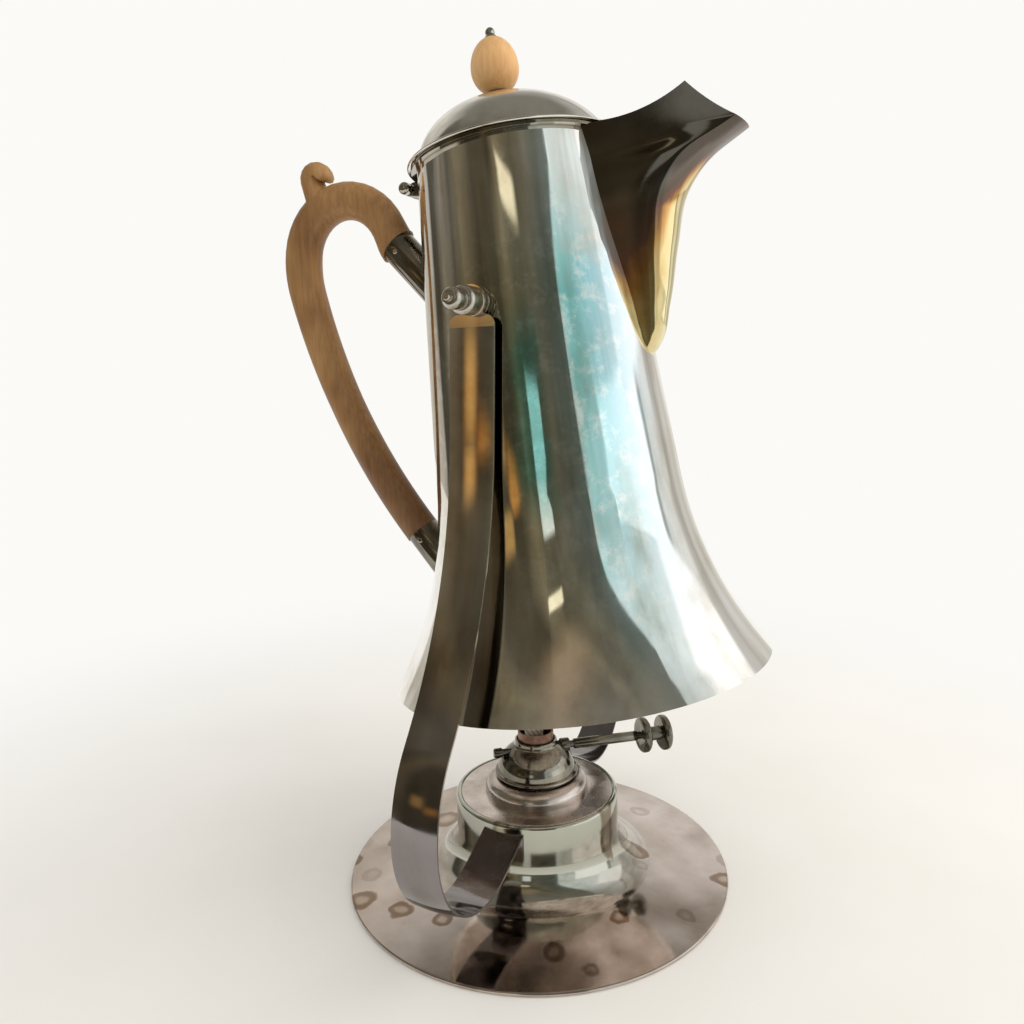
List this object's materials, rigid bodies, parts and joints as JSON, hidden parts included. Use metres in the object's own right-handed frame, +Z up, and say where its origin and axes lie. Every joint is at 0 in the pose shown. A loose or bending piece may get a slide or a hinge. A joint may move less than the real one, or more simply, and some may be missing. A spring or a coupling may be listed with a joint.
{
  "type": "tilting coffee pot on burner stand",
  "caption": "Bell-shaped silver-plated coffee pot with wooden handle and knob, hung to tilt between two strap arms on a round stand with a spirit burner.",
  "frame": {"origin": "middle of the foot's underside, on the surface the pot stands on", "axes": "+Z up, +X from the handle towards the spout, +Y to the left of someone looking along +X; the pivots lie along Y"},
  "size_m": [0.2307, 0.2226, 0.3763],
  "materials": {
    "silver_plate": "tarnished polished silver plate",
    "fruitwood": "waxed",
    "boxwood": "waxed",
    "brass": "plain turned",
    "copper": "heat-browned copper",
    "cotton": "woven"
  },
  "bodies": {
    "stand": {"stand_foot": "silver_plate", "arm_right": "silver_plate", "arm_left": "silver_plate", "arm_rivets": "silver_plate", "pivot_washers": "silver_plate"},
    "pot": {"pot_body": "silver_plate", "pot_base": "silver_plate", "spout": "silver_plate", "pivot_boss_right": "silver_plate", "pivot_boss_left": "silver_plate", "upper_socket": "silver_plate", "lower_socket": "silver_plate", "handle": "fruitwood", "socket_pins": "silver_plate", "hinge_bracket": "silver_plate", "hinge_pin": "silver_plate"},
    "lid": {"lid_dome": "silver_plate", "lid_bezel": "silver_plate", "lid_knuckle": "silver_plate", "knob_cup": "silver_plate", "knob": "boxwood", "knob_finial": "silver_plate", "knob_nut": "brass"},
    "screw_right": {"finial_right": "silver_plate"},
    "screw_left": {"finial_left": "silver_plate"},
    "lamp": {"lamp_tray": "silver_plate", "font_shoulder": "silver_plate", "reservoir_bowl": "silver_plate"},
    "burner": {"burner_cap": "silver_plate", "wick_tube": "copper", "gland_nut": "silver_plate"},
    "wick_key": {"key_spindle": "silver_plate", "key_knob": "silver_plate", "feed_wheel": "brass"},
    "wick_strip": {"wick": "cotton"}
  },
  "joints": [
    {"name": "pot_tilt", "type": "hinge", "parent": "stand", "child": "pot", "pos_m": [0, 0, 0.262], "axis": [0, 1, 0], "range_deg": [-10, 80]},
    {"name": "lid_hinge", "type": "hinge", "parent": "pot", "child": "lid", "pos_m": [-0.05184, 0, 0.31565], "axis": [0, -1, 0], "range_deg": [0, 95]},
    {"name": "screw_right_turn", "type": "hinge", "parent": "pot", "child": "screw_right", "pos_m": [0, 0, 0.262], "axis": [0, -1, 0], "continuous": true},
    {"name": "screw_left_turn", "type": "hinge", "parent": "pot", "child": "screw_left", "pos_m": [0, 0, 0.262], "axis": [0, 1, 0], "continuous": true},
    {"name": "lamp_lift", "type": "slide", "parent": "stand", "child": "lamp", "axis": [0, 0, 1], "range_m": [0, 0.009]},
    {"name": "burner_turn", "type": "hinge", "parent": "lamp", "child": "burner", "pos_m": [0, 0, 0.0487], "axis": [0, 0, 1], "continuous": true},
    {"name": "key_turn", "type": "hinge", "parent": "burner", "child": "wick_key", "pos_m": [0, 0, 0.06], "axis": [0.7934, 0.6088, 0], "range_deg": [-45, 60]},
    {"name": "wick_rise", "type": "slide", "parent": "burner", "child": "wick_strip", "axis": [0, 0, 1], "range_m": [-0.00236, 0.00314]}
  ],
  "couplings": [
    {"joint": "wick_rise", "follows": "key_turn", "m_per_rad": 0.003}
  ]
}
